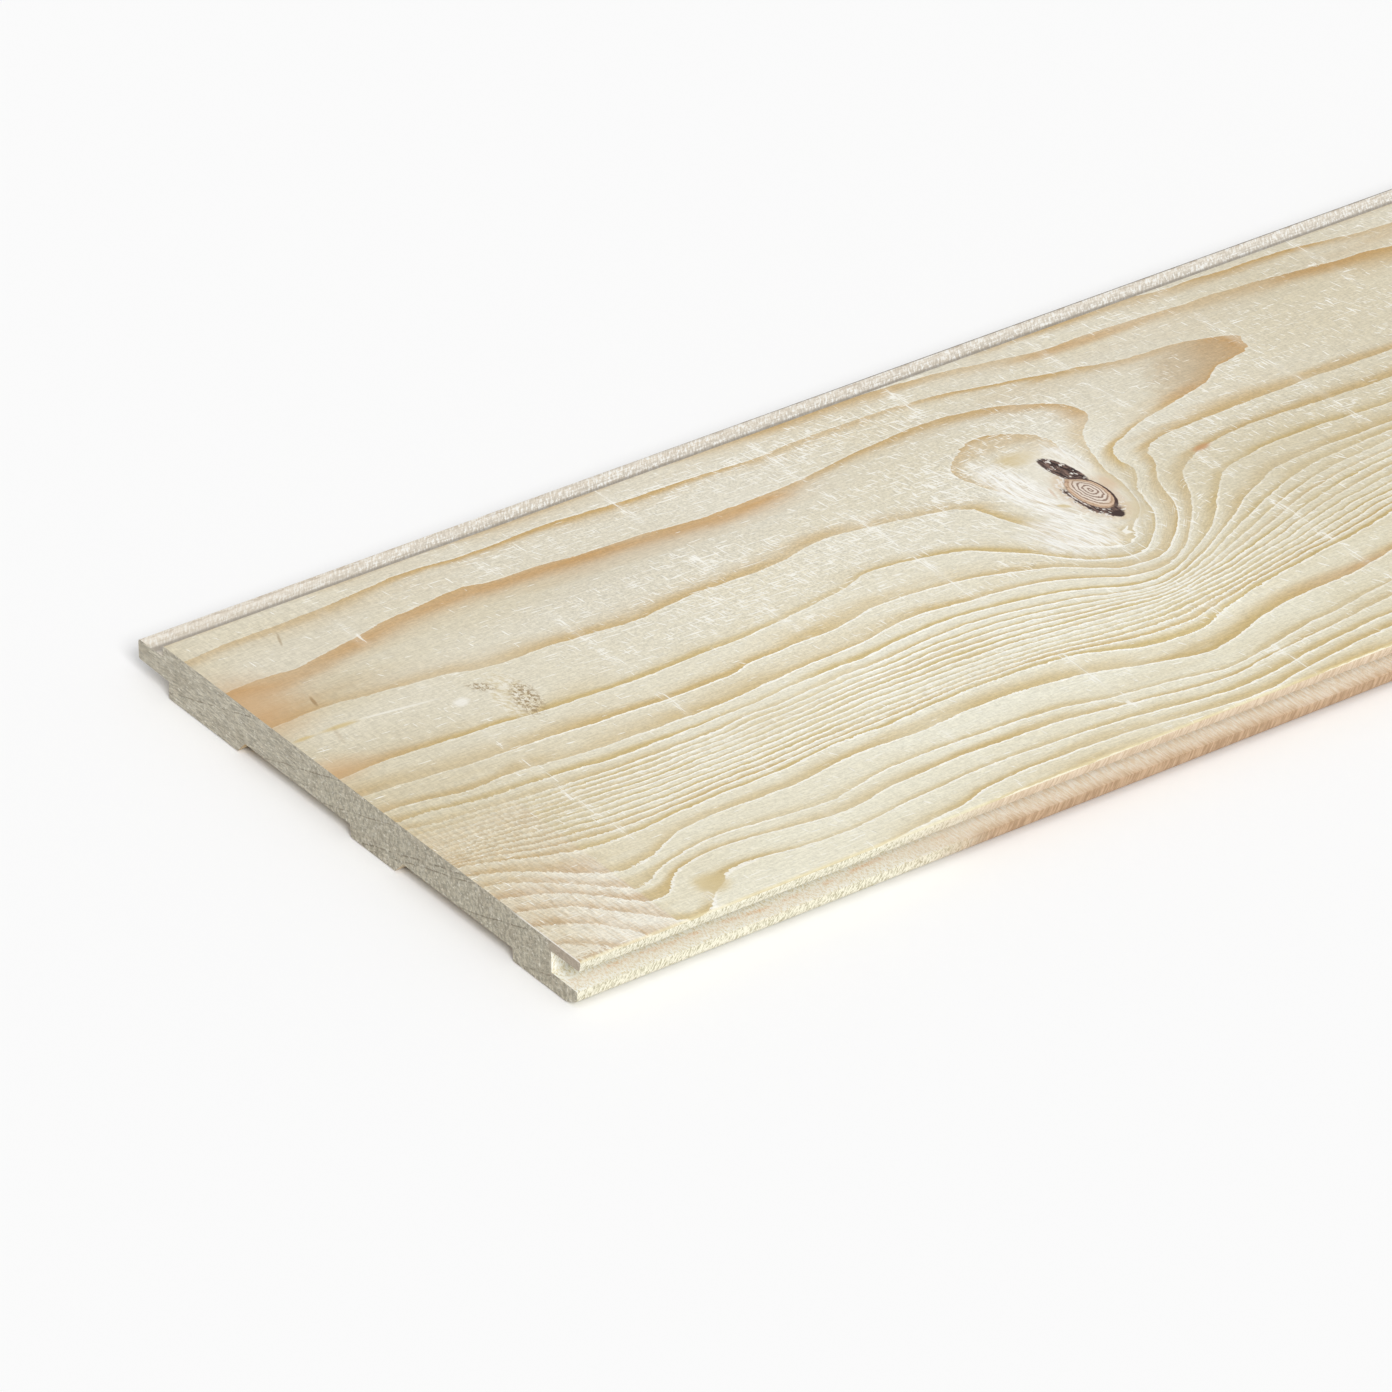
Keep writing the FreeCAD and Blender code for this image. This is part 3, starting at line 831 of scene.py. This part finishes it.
def main_knot(g):
    """The loose knot in the photograph: a ringed heart, black bark round its left and a pocket above."""
    jag = g.swing(g.flat, (0.9, 0.6, 1), 3, 0.65, 0.9)
    glow = g.spot((165.8, 76.5), (6.4, 15.5), 2, 0.35, g.times(jag, 0.6))
    g.paint((238, 232, 216), glow, 0.6)
    blush = g.spot((170.4, 74.6), (1.3, 2.6), 0, 0.6, jag)
    g.paint((219, 184, 146), blush, 0.55)
    lobe = g.spot((167.6, 64.2), (3.4, 3), 0, 0.25, g.times(jag, 0.3))
    g.paint((222, 206, 168), lobe, 0.55)
    skirt = g.spot((165, 72.6), (4.7, 9.9), 1, 0.2, g.times(jag, 0.5))
    g.paint((212, 182, 150), skirt, 0.5)
    rim = g.spot(*BARK_RIM[:3], 0.05, g.times(jag, 0.75))
    side = g.ramp(g.mad(g.less(g.v, 66), 0.42, g.u), 168, 166.6)
    pocket = g.spot(*BARK_POCKET[:3], 0.07, g.times(jag, 0.3))
    bark = g.most(g.times(rim, side), pocket)
    edge = g.spot((166.3, 82.7), (2.6, 6.5), 10, 0.1, g.times(jag, 0.6))
    edge = g.most(edge, g.spot((164.8, 72), (4.1, 8.6), 1, 0.08, jag))
    broken = g.ramp(g.noise(g.flat, (1.6, 1, 1), 2, 0.6), 0.5, 0.58)
    g.paint((240, 235, 226), edge, broken)
    g.paint(knot_bark(g), bark)
    off = g.far_off(*KNOT_HEART[:3])
    ragged = g.mad(jag, 0.12, off)
    g.paint(knot_heart(g, off, jag), g.ramp(ragged, 1.03, 0.97))
    thick = g.ramp(g.v, 79, 66, 0.05, 0.1)
    line = g.ramp(g.over(g.size(g.less(ragged, 1.02)), thick), 1, 0.5)
    g.paint((72, 50, 44), line, g.ramp(g.u, 165, 167.5, 0.25, 1))
    fleck = g.ramp(g.noise(g.flat, (1.5, 0.7, 1), 2, 0.6), 0.48, 0.56)
    pale = g.times(g.band(ragged, 1.1, 0.1), g.ramp(g.u, 166, 164.6))
    g.paint((240, 232, 222), pale, fleck)
    tip = g.spot((165.2, 64.6), (1.2, 1.3), 0, 0.2, g.times(jag, 0.8))
    g.paint((62, 42, 38), tip)


def far_knot(g, knot):
    """A sound round knot, grown into the wood."""
    u, v, half_long, half_wide, _ = knot
    rough = g.swing(g.flat, (0.5, 0.5, 1), 3, 0.6, 0.4)
    off = g.plus(g.far_off((u, v), (half_long, half_wide), 12), rough)
    g.paint((217, 188, 145), g.ramp(off, 2.1, 1, 0, 0.7))
    wood = heart_rings(g, off, (150, 108, 72), (190, 152, 110))
    wood = g.tint(g.band(off, 1, 0.16), wood, (96, 62, 42))
    g.paint(wood, g.ramp(off, 1.08, 1))


def torn_grain(g):
    """Whitish wood with raised fibres that sweep round the left of the knot. Gives back their height."""
    jag = g.swing(g.flat, (0.35, 0.3, 1), 3, 0.6, 1.1)
    patch = g.spot((156.4, 79), (4.2, 13.5), 8, 0.3, g.times(jag, 0.8))
    tail = g.spot((154, 63.5), (7, 8), 38, 0.45, jag)
    torn = g.most(patch, g.most(tail, g.spot((169.6, 86), (2.4, 6), 5, 0.5, jag)))
    swept = g.join(g.mad(g.ramp(g.v, 82, 56), -6.5, g.u), g.v, 0)
    thread = g.noise(swept, (1.7, 0.19, 1), 2, 0.6)
    fibre = g.tint(g.ramp(thread, 0.39, 0.5), (229, 221, 205), (255, 254, 249))
    loose = g.ramp(g.noise(swept, (2.2, 0.2, 1), 1), 0.44, 0.62, 0.6, 1)
    g.paint(fibre, torn, loose)
    return g.times(torn, thread)


YELLOW, ORANGE, BROWN = (214, 193, 142), (202, 152, 104), (160, 134, 96)

# Stains, streaks and pitch flecks: centre, half sizes, turn, softness, paint and share.
SMALL_MARKS = (
    ((32.2, 7), (2.9, 3), 35, 0.5, YELLOW, 0.75), ((2.6, 86.3), (1.9, 0.5), 0, 0.6, YELLOW, 0.9),
    ((10, 86.1), (3.4, 0.6), -2, 0.6, YELLOW, 0.9), ((162.2, 90.8), (3.6, 2.3), -12, 0.6, YELLOW, 0.8),
    ((192.3, 74.6), (2, 0.8), 8, 0.5, ORANGE, 0.8), ((158.9, 72.3), (1.3, 0.5), -48, 0.4, YELLOW, 0.9),
    ((160, 77.4), (0.3, 1.9), -14, 0.5, ORANGE, 0.6), ((10.9, 95.6), (0.35, 1.6), -12, 0.5, BROWN, 0.9),
    ((17.8, 116.6), (0.25, 1.9), -22, 0.6, BROWN, 0.55), ((8.2, 84), (0.4, 2.6), -14, 0.8, BROWN, 0.25),
    ((21, 84.9), (7.2, 0.32), -9, 0.6, (245, 241, 228), 0.8),
    ((31.6, 80.3), (1.5, 1.2), 20, 0.5, (247, 244, 234), 0.8),
    ((-0.5, 100), (9, 8.6), 0, 0.9, (208, 168, 120), 0.75),
    ((-0.5, 74.5), (7, 3.6), 0, 0.8, (214, 180, 136), 0.6),
)


def small_marks(g):
    """The little stains that the photograph shows, and the bruise with its dark dots."""
    jag = g.swing(g.flat, (1.1, 1.1, 1), 3, 0.7, 1.2)
    for centre, radii, turn, soft, paint, share in SMALL_MARKS:
        g.paint(paint, g.spot(centre, radii, turn, soft, g.times(jag, 0.5)), share)
    bruise = g.spot((40, 77), (3.4, 7.8), -12, 0.3, g.times(jag, 0.7))
    scratch = g.noise(g.flat, (1.9, 0.6, 1), 3, 0.65, -30)
    paint = g.tint(g.ramp(scratch, 0.4, 0.6), (214, 199, 162), (244, 239, 224))
    g.paint(paint, bruise, 0.7)
    side = g.spot((41.6, 74.6), (2.4, 5.8), -14, 0.4, g.times(jag, 0.6))
    crown = g.spot((37.4, 82.6), (1.2, 2.6), 40, 0.5, g.times(jag, 0.6))
    specks = g.ramp(g.noise(g.flat, (1.5, 1, 1), 3, 0.75), 0.47, 0.56)
    g.paint((156, 131, 92), specks, g.most(side, crown), 0.85)


PLANER_PITCH = 32.25
PLANER_START = 29.3


def planer_marks(g):
    """Where the feed rollers bit: evenly spaced zones across the board, with broken thin lines."""
    wander = g.swing(g.flat, (0.05, 0.2, 1), 2, 0.6, 2.4)
    along = g.less(g.plus(g.u, wander), PLANER_START - PLANER_PITCH / 2)
    off = g.less(g.modulo(along, PLANER_PITCH), PLANER_PITCH / 2)
    patches = g.ramp(g.noise(g.flat, (0.045, 0.08, 1), 2, 0.6), 0.41, 0.55)
    zone = g.times(g.ramp(g.size(off), 1.7, 0.2), patches)
    lines = g.strokes(g.flat, 0, (2.5, 0.15, 1), g.mad(zone, -0.26, 0.82))
    share = g.mad(zone, 0.12, g.times(lines, g.ramp(g.u, 310, 380, 0.66, 0.4)))
    g.paint(PALE_FIBRE, share)
    return zone


def face_base(g, chance):
    """Earlywood: cream by the groove edge, greyer by the tongue, with soft darker places."""
    base = g.tint(g.ramp(g.v, 0, 118), (240, 236, 216), (226, 220, 203))
    cloud = g.noise(g.flow, (0.016, 0.05, 0.05), 3, 0.55)
    base = g.tint(g.ramp(cloud, 0.42, 0.66, 0, 0.45), base, (229, 220, 194))
    base = g.tint(g.times(chance, 0.25), base, (231, 220, 190))
    low = g.most(g.ramp(g.v, 34, 22), g.ramp(g.v, 52, 44, 0, 0.5))
    corner = g.times(low, g.ramp(g.u, 21, 20.2))
    return g.tint(g.times(corner, 0.4), base, (247, 242, 228)), corner


def face_late(g, chance, corner):
    """Latewood: tan, more orange by the tongue and where the bands are warm."""
    tan = g.tint(chance, (209, 188, 132), (207, 181, 126))
    tan = g.tint(g.ramp(g.v, 66, 100, 0, 0.7), tan, (203, 167, 110))
    tan = g.tint(corner, tan, (199, 168, 122))
    return g.tint(g.times(g.attribute("warm"), 0.85), tan, (206, 165, 112))


def corner_hatch(g, corner):
    """Silky fibres drawn across the fan of rings in the near corner."""
    thread = g.noise(g.flat, (2.1, 0.2, 1), 3, 0.65, -4)
    paint = g.tint(g.ramp(thread, 0.4, 0.56), (222, 200, 172), (253, 249, 240))
    g.paint(paint, corner, 0.3)


def flame(g, ring):
    """The tip of the cathedral figure, tan right across and ragged towards the middle."""
    jag = g.swing(g.flat, (0.4, 0.5, 1), 3, 0.65, 1.4)
    fill = g.spot((211, 100.2), (11.5, 7), 24, 0.45, jag)
    g.paint((200, 180, 148), fill, g.ramp(ring, 2, 1.97), 0.62)


# How much of each linear channel a full share of tone takes away.
TONE_CUTS = (0.13, 0.17, 0.25)


def fine_texture(g, pores):
    """Tone, brushed fibres, pores and grit of the planed face."""
    tone = g.attribute("tone")
    g.shade(*(g.mad(tone, -cut, 1) for cut in TONE_CUTS))
    brush = g.less(g.noise(g.flat, (1.6, 0.3, 1), 3, 0.65), 0.5)
    deep = g.mad(g.attribute("faint"), 0.5, 0.16)
    g.shade(g.plus(g.times(brush, deep), 1))
    g.shade(g.ramp(pores, 0.36, 0.64, 0.91, 1.06))
    grit = g.ramp(g.noise(g.solid, (1.9, 1.6, 1.6), 2, 0.7), 0.36, 0.64, -1, 1)
    deep = g.mad(g.attribute("fuzz"), 0.05, 0.05, clamp=True)
    g.shade(g.mad(grit, deep, 1))


def face_wood():
    """The planed face, from its rings up to its marks and knots."""
    g = Graph("softwood_face")
    late, ring_highlight, ring, two, three = ring_bands(g)
    base, corner = face_base(g, two)
    share = g.times(late, g.mad(corner, 0.3, 1), clamp=True)
    g.colour = g.tint(share, base, face_late(g, three, corner))
    flame(g, ring)
    corner_hatch(g, corner)
    # Painted highlight beside each ring line.
    g.paint((254, 251, 240), ring_highlight)
    pores = g.noise(g.flow, (0.5, 2.4, 2.4), 4, 0.7)
    fine_texture(g, pores)
    zone = planer_marks(g)
    torn = torn_grain(g)
    raised_fibres(g, zone, late)
    small_marks(g)
    # Painted shade on the rounded arris by the groove, to tone down the lamp's highlight there.
    g.paint((204, 194, 156), g.ramp(g.v, 0.5, 0.1, 0, 0.55))
    main_knot(g)
    for knot in FAR_KNOTS:
        far_knot(g, knot)
    height = g.mad(torn, 0.9, g.times(pores, 0.45))
    return g.finish(height, g.ramp(late, 0, 1, 0.66, 0.5), 0.00022)


def tongue_wood():
    """Rough sawn look: grey-pink wood under pale fibres, with painted shade along the shoulder and along the
    tip's rounded top.
    """
    g = Graph("softwood_tongue")
    late = ring_bands(g)[0]
    g.colour = g.tint(g.times(late, 0.3), (227, 218, 203), (208, 191, 164))
    # Painted shade: darker by the shoulder, lighter towards the tip.
    g.shade(g.ramp(g.v, 131.2, 133.6, 0.97, 1.14))
    fine = g.noise(g.flat, (2.6, 0.42, 1), 4, 0.72, 34)
    drawn = g.noise(g.solid, (0.3, 1.8, 1.8), 4, 0.7)
    fleck = g.mad(fine, 0.65, g.times(drawn, 0.35))
    onward = g.ramp(g.u, 20, 70, 0.55, 1)
    dark = g.times(g.ramp(fleck, 0.53, 0.41), g.times(onward, 0.2))
    g.shade(g.less(1, dark))
    g.paint((253, 252, 246), g.ramp(fleck, 0.5, 0.57), onward)
    # Painted shadow of the shoulder: a dark stripe on the tongue's top next to it.
    root = g.times(g.ramp(g.v, 131.3, 130.4), g.ramp(g.v, 128.2, 129.4), 0.72)
    g.paint((150, 140, 128), root, g.ramp(g.z, 7, 7.5))
    stain = g.ramp(g.noise(g.solid, (0.25, 0.9, 0.9), 3, 0.7), 0.5, 0.62)
    g.paint((186, 166, 142), stain, g.ramp(g.v, 132.8, 134.4), 0.6)
    # Painted shade: a dark line along the rounded top of the tip, which turns away from the lamps.
    rim = g.times(g.ramp(g.v, 134.25, 134.6), g.ramp(g.z, 7.1, 7.25), 0.85)
    g.paint((112, 104, 96), rim, g.ramp(g.u, 80, 165))
    return g.finish(fleck, 0.75, 0.0002)


# Dark and pale grain of the grooved edge's speckled, pinkish and orange-brown parts. The groove's set is
# lighter than the edge's: painted light that lifts the shade inside the groove.
EDGE_PAINTS = {
    "edge": (
        (182, 174, 142), (242, 238, 218), (204, 180, 150), (228, 209, 184), (166, 135, 103), (198, 168, 136),
    ),
    "groove": (
        (226, 216, 184), (255, 255, 248), (240, 225, 202), (255, 251, 242), (202, 171, 135), (227, 200, 169),
    ),
}


def edge_wood(part):
    """The grooved edge: speckled and pale by the shown end, pinkish over orange-brown further on. Inside the
    groove the paints are lighter, as painted light over its shade.
    """
    g = Graph("softwood_" + part)
    late = ring_bands(g)[0]
    saw_dark, saw_pale, pink_dark, pink_pale, tan_dark, tan_pale = EDGE_PAINTS[part]
    wave = g.swing(g.join(g.u, 0, 0), (0.035, 1, 1), 2, 0.5, 3.4)
    level = g.plus(g.mad(g.v, 0.75, g.z), wave)
    hatch = g.join(g.mad(g.z, -0.5, g.u), g.v, g.z)
    speck = g.noise(hatch, (2.8, 1.2, 1.2), 4, 0.8)
    sawn = g.tint(g.ramp(speck, 0.4, 0.54), saw_dark, saw_pale)
    pink = g.tint(g.ramp(speck, 0.4, 0.58), pink_dark, pink_pale)
    sawn = g.tint(g.times(g.band(level, 6, 2.2), 0.8), sawn, pink)
    streak = g.times(g.band(level, 6.6, 0.7), g.ramp(speck, 0.35, 0.55, 1, 0.35))
    broken = g.noise(g.join(g.u, g.times(g.z, 2), 0), (0.09, 0.3, 1), 2, 0.6)
    sawn = g.tint(g.times(streak, g.ramp(broken, 0.44, 0.58), 0.85), sawn, (228, 180, 128))
    upright = g.noise(hatch, (2.3, 0.3, 0.3), 4, 0.7)
    blush = g.tint(g.ramp(upright, 0.4, 0.62), pink_dark, pink_pale)
    brown = g.tint(g.ramp(upright, 0.38, 0.62), tan_dark, tan_pale)
    planed = g.tint(g.ramp(level, 3.6, 6.2), brown, blush)
    onward = g.mad(g.noise(g.solid, (0.1, 0.3, 0.3), 2, 0.6), 26, g.u)
    g.colour = g.tint(g.ramp(onward, 74, 110), sawn, planed)
    beyond = g.tint(late, pink_pale, tan_dark)
    g.paint(beyond, g.ramp(onward, 330, 380))
    # Painted highlight along the top of the edge, below the face's arris.
    g.paint((226, 217, 184), g.ramp(g.z, 9.55, 9.8), 0.6)
    return g.finish(g.plus(speck, g.times(upright, 0.6)), 0.72, 0.0002)


# The shown knot where it comes out on the back.
BACK_KNOT = (164, 80, 7, 4.6, 0)


def back_wood():
    """Coarser planing on the back, with the same rings and the knots that come through."""
    g = Graph("softwood_back")
    late, ring_highlight, _, _, chance = ring_bands(g)
    cloud = g.noise(g.flow, (0.015, 0.05, 0.05), 3, 0.55)
    base = g.tint(g.ramp(cloud, 0.35, 0.7), (226, 217, 196), (215, 200, 172))
    g.colour = g.tint(late, base, g.tint(chance, (201, 176, 128), (199, 164, 118)))
    # Painted highlight beside each ring line, weaker on the back.
    g.paint((240, 235, 217), ring_highlight, 0.4)
    pores = g.noise(g.flow, (0.45, 2.2, 2.2), 3, 0.65)
    g.shade(g.ramp(pores, 0.25, 0.75, 0.93, 1.06))
    ripple = g.sine(g.mad(g.u, 2.6, g.times(cloud, 8)))
    g.shade(g.mad(ripple, 0.012, 1))
    for knot in (BACK_KNOT,) + FAR_KNOTS:
        far_knot(g, knot)
    return g.finish(g.mad(ripple, 0.25, g.mad(late, -0.5, pores)), 0.7, 0.0003)


# Ring lines of the end grain: how far they lean per millimetre up, and each one's place and reach.
END_LEAN = 3.3
END_LINES = ((35.1, 0.8), (31.1, 0.72), (11.9, 0.8), (-13.3, 0.8), (53.5, 0.56), (72.5, 0.48), (97.5, 0.56))


def end_wood():
    """Sawn end grain: grey-beige and fibrous, with ring lines that climb to the face."""
    g = Graph("softwood_end")
    # The end is darker than the face partly as end grain and partly as painted shade of the end side.
    base = g.tint(g.ramp(g.v, 60, 112), (184, 177, 158), (196, 189, 171))
    cloud = g.noise(g.solid, (0.1, 0.16, 0.3), 3, 0.6)
    g.colour = g.tint(g.ramp(cloud, 0.42, 0.62, 0, 0.6), base, (172, 163, 144))
    climb = g.mad(g.less(g.z, THICKNESS), END_LEAN, g.v)
    climb = g.mad(g.noise(g.solid, (1, 0.12, 0.3)), 3, climb)
    faint = g.noise(g.join(climb, 0, 0), (0.9, 1, 1), 3, 0.7)
    g.shade(g.ramp(faint, 0.36, 0.62, 0.9, 1.05))
    broken = g.ramp(g.noise(g.solid, (1, 0.25, 0.5), 2, 0.6), 0.38, 0.55)
    for place, reach in END_LINES:
        g.paint((128, 117, 98), g.band(climb, place, reach), broken, 0.85)
    drawn = g.noise(g.solid, (1, 0.36, 2.9), 4, 0.72)
    stood = g.noise(g.solid, (1, 1.2, 1), 4, 0.75)
    grain = g.add("ShaderNodeMix", {0: g.ramp(g.v, 74, 88), 2: stood, 3: drawn})
    g.shade(g.ramp(grain, 0.38, 0.62, 0.74, 1.24))
    fleck = g.noise(g.solid, (1, 1.2, 1.9), 3, 0.65)
    g.paint((236, 232, 218), g.ramp(fleck, 0.57, 0.67, 0, 0.7))
    g.paint((134, 125, 106), g.ramp(fleck, 0.38, 0.3, 0, 0.5))
    knobs = g.noise(g.solid, (1, 0.55, 0.9), 3, 0.6)
    g.paint((226, 221, 206), g.ramp(knobs, 0.56, 0.68, 0, 0.45))
    g.paint((146, 137, 119), g.ramp(knobs, 0.44, 0.32, 0, 0.4))
    g.paint((176, 158, 140), g.ramp(g.v, 10.5, 7), g.ramp(g.z, 6.6, 7.8), 0.6)
    # Painted highlight along the top arris of the end, by the groove edge.
    g.paint((252, 246, 234), g.ramp(g.z, 9.6, 9.72), g.ramp(g.v, 22, 16), 0.9)
    return g.finish(g.plus(grain, fleck), 0.85, 0.0003)


def board_materials():
    return {
        "face": face_wood(),
        "tongue": tongue_wood(),
        "edge": edge_wood("edge"),
        "groove": edge_wood("groove"),
        "back": back_wood(),
        "end": end_wood(),
    }


# Stage, light and camera.

FLOOR_SIZE = 14.0
FLOOR_DROP = 0.0003
FLOOR_WHITE = (0.97, 0.97, 0.97, 1)
CAMERA_PLACE = (-1.2101, -1.1458, 0.8611)
CAMERA_YAW = 36.02
CAMERA_PITCH = 31.21
FRAME_PIXELS = 1392.0
FOCAL_PIXELS = 9400.0
SENSOR_WIDTH = 36.0
CLIP_RANGE = (0.1, 50.0)


def make_floor():
    bpy.ops.mesh.primitive_plane_add(size=FLOOR_SIZE, location=(0, 0, -FLOOR_DROP))
    floor = bpy.context.object
    floor.name = "floor"
    material = bpy.data.materials.new("pale_floor")
    material.use_nodes = True
    surface = material.node_tree.nodes["Principled BSDF"]
    surface.inputs["Base Color"].default_value = FLOOR_WHITE
    surface.inputs["Roughness"].default_value = 1.0
    surface.inputs["Specular IOR Level"].default_value = 0.0
    floor.data.materials.append(material)


SKY_STRENGTH = 0.5
SUNS = (
    # Name, direction towards it, strength, apparent size in degrees.
    ("high_key", (0.0, -0.35, 0.94), 0.4, 40.0),
    ("front_fill", (-0.28, -0.76, 0.585), 2.0, 20.0),
)


def make_lights():
    world = bpy.data.worlds.new("studio")
    bpy.context.scene.world = world
    world.use_nodes = True
    background = world.node_tree.nodes["Background"]
    background.inputs["Color"].default_value = (1, 1, 1, 1)
    background.inputs["Strength"].default_value = SKY_STRENGTH
    for name, direction, strength, size in SUNS:
        lamp = bpy.data.lights.new(name, "SUN")
        lamp.energy = strength
        lamp.angle = math.radians(size)
        sun = bpy.data.objects.new(name, lamp)
        sun.rotation_euler = Vector(direction).to_track_quat("Z", "Y").to_euler()
        bpy.context.scene.collection.objects.link(sun)


def make_camera():
    data = bpy.data.cameras.new("camera")
    data.sensor_width = SENSOR_WIDTH
    data.lens = FOCAL_PIXELS / FRAME_PIXELS * SENSOR_WIDTH
    data.clip_start, data.clip_end = CLIP_RANGE
    camera = bpy.data.objects.new("camera", data)
    camera.location = CAMERA_PLACE
    camera.rotation_euler = (math.radians(90.0 - CAMERA_PITCH), 0.0, math.radians(-CAMERA_YAW))
    bpy.context.scene.collection.objects.link(camera)
    bpy.context.scene.camera = camera


def main():
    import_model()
    bpy.context.scene.view_settings.view_transform = "Standard"
    board = build_board()
    materials = board_materials()
    for name in SLOTS:
        board.data.materials.append(materials[name])
    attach(board, "root")
    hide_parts(NODE)
    make_floor()
    make_lights()
    make_camera()


main()
